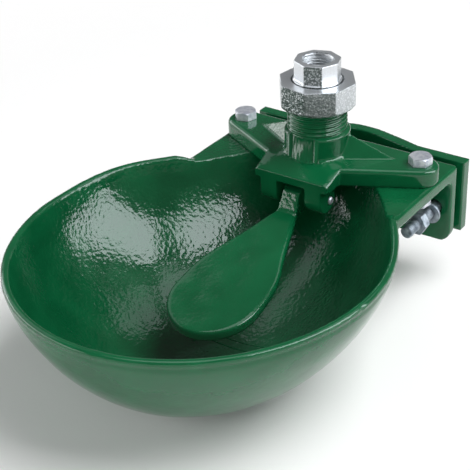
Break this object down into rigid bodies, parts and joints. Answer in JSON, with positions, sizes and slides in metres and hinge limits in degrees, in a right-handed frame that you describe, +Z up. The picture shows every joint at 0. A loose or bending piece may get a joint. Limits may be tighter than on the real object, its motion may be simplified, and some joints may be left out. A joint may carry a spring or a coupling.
{
  "type": "livestock drinking bowl",
  "caption": "Cast-iron drinking bowl with a tongue-operated valve under a bolted cover, a threaded union inlet on top and a rear pipe clamp.",
  "frame": {"origin": "middle of the mounting flange's back face, level with the top of the deck that carries the valve cover", "axes": "+Z up along the valve and inlet axis, -Y out of the wall to the front of the bowl, +X across to the right hand seen from behind the wall side"},
  "size_m": [0.2212, 0.3135, 0.154],
  "materials": {
    "green_enamel": "glossy enamel over sand-cast iron",
    "galvanised_iron": "hot-dip galvanised malleable iron",
    "zinc_steel": "zinc plated",
    "brass": "machined",
    "rubber": "matte",
    "spring_steel": "stainless"
  },
  "bodies": {
    "body": {"bowl": "green_enamel", "valve_cover": "green_enamel", "hinge_pin": "zinc_steel", "valve_seat": "brass", "valve_spring": "spring_steel", "inlet_strainer": "spring_steel", "union_gasket": "rubber", "union_nut": "galvanised_iron", "union_tail": "galvanised_iron", "cover_bolts": "zinc_steel", "cover_washers": "zinc_steel", "cover_nuts": "zinc_steel", "clamp_plate": "green_enamel", "clamp_bolts": "zinc_steel", "clamp_washers": "zinc_steel", "clamp_nuts": "zinc_steel"},
    "tongue": {"tongue": "green_enamel"},
    "valve": {"valve_stem": "brass", "valve_rubber": "rubber"}
  },
  "joints": [
    {"name": "tongue_press", "type": "hinge", "parent": "body", "child": "tongue", "pos_m": [0, -0.066, -0.0105], "axis": [1, 0, 0], "range_deg": [0, 8.5], "stiffness_Nm_per_rad": 1.2, "springref_deg": -14.32},
    {"name": "valve_lift", "type": "slide", "parent": "body", "child": "valve", "axis": [0, 0, 1], "range_m": [0, 0.0031], "stiffness_N_per_m": 500, "springref_m": -0.004, "deforming": ["valve_spring"]}
  ],
  "couplings": [
    {"joint": "valve_lift", "follows": "tongue_press", "m_per_rad": 0.0208}
  ]
}
